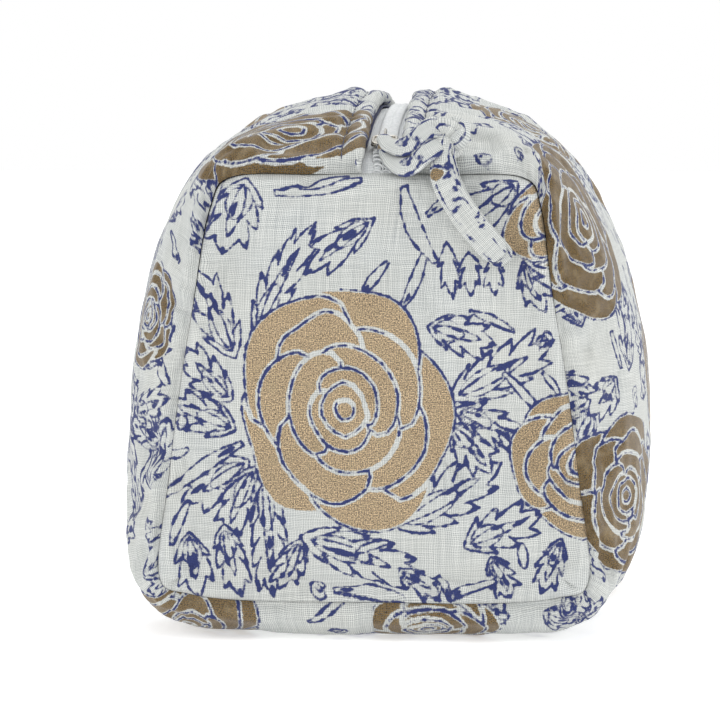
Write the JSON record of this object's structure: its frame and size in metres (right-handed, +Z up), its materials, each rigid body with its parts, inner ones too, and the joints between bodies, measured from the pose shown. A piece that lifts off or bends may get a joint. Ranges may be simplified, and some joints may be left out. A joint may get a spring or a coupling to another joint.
{
  "type": "makeup bag",
  "caption": "Padded cotton makeup bag, boxy with a domed top, two side walls that open along a curved zip, a metal slider and a knotted cloth pull.",
  "frame": {"origin": "centre of the flat base, on the surface the bag stands on", "axes": "+X to the right seen from the end that the slider rests at, +Y along the length away from that end, +Z up"},
  "size_m": [0.1698, 0.2371, 0.1702],
  "materials": {
    "printed_cotton": "plain weave cotton, printed in blue and gold, matt",
    "wadding": "soft polyester wadding, matt",
    "navy_lining": "plain weave cotton, navy, matt",
    "seam_binding": "bias tape, navy, matt",
    "zip_tape": "woven polyester tape, off-white",
    "zip_coil": "nylon coil, off-white, satin",
    "thread": "sewing thread, navy",
    "nickel": "nickel plate, bright"
  },
  "bodies": {
    "root": {"outer_base": "printed_cotton", "outer_front": "printed_cotton", "outer_rear": "printed_cotton", "wadding_base": "wadding", "wadding_front": "wadding", "wadding_rear": "wadding", "lining_base": "navy_lining", "lining_front": "navy_lining", "lining_rear": "navy_lining", "seam_binding_front": "seam_binding", "seam_binding_rear": "seam_binding"},
    "mouth_left": {"outer_left": "printed_cotton", "wadding_left": "wadding", "lining_left": "navy_lining", "zip_tape_left": "zip_tape", "zip_coil_left": "zip_coil", "topstitch_left": "thread"},
    "mouth_right": {"outer_right": "printed_cotton", "wadding_right": "wadding", "lining_right": "navy_lining", "zip_tape_right": "zip_tape", "zip_coil_right": "zip_coil", "topstitch_right": "thread"},
    "slider": {"slider": "nickel"},
    "pull": {"pull_eye": "nickel", "pull_strip": "printed_cotton", "pull_knot": "printed_cotton", "pull_tail": "printed_cotton"}
  },
  "joints": [
    {"name": "zip_slide", "type": "hinge", "parent": "root", "child": "slider", "pos_m": [0, 0, -0.21613], "axis": [-1, 0, 0], "range_deg": [0, 28.2]},
    {"name": "mouth_left_open", "type": "hinge", "parent": "root", "child": "mouth_left", "pos_m": [-0.086, 0, 0.08], "axis": [0, -1, 0], "range_deg": [0, 19.2], "deforming": ["zip_tape_left", "zip_coil_left"]},
    {"name": "mouth_right_open", "type": "hinge", "parent": "root", "child": "mouth_right", "pos_m": [0.086, 0, 0.08], "axis": [0, 1, 0], "range_deg": [0, 19.2], "deforming": ["zip_tape_right", "zip_coil_right"]},
    {"name": "pull_lift", "type": "hinge", "parent": "slider", "child": "pull", "pos_m": [0, -0.09686, 0.15603], "axis": [-1, 0, 0], "range_deg": [0, 110], "deforming": ["pull_strip", "pull_knot", "pull_tail"]}
  ],
  "couplings": [
    {"joint": "mouth_left_open", "follows": "zip_slide", "ratio": 0.68},
    {"joint": "mouth_right_open", "follows": "zip_slide", "ratio": 0.68}
  ]
}
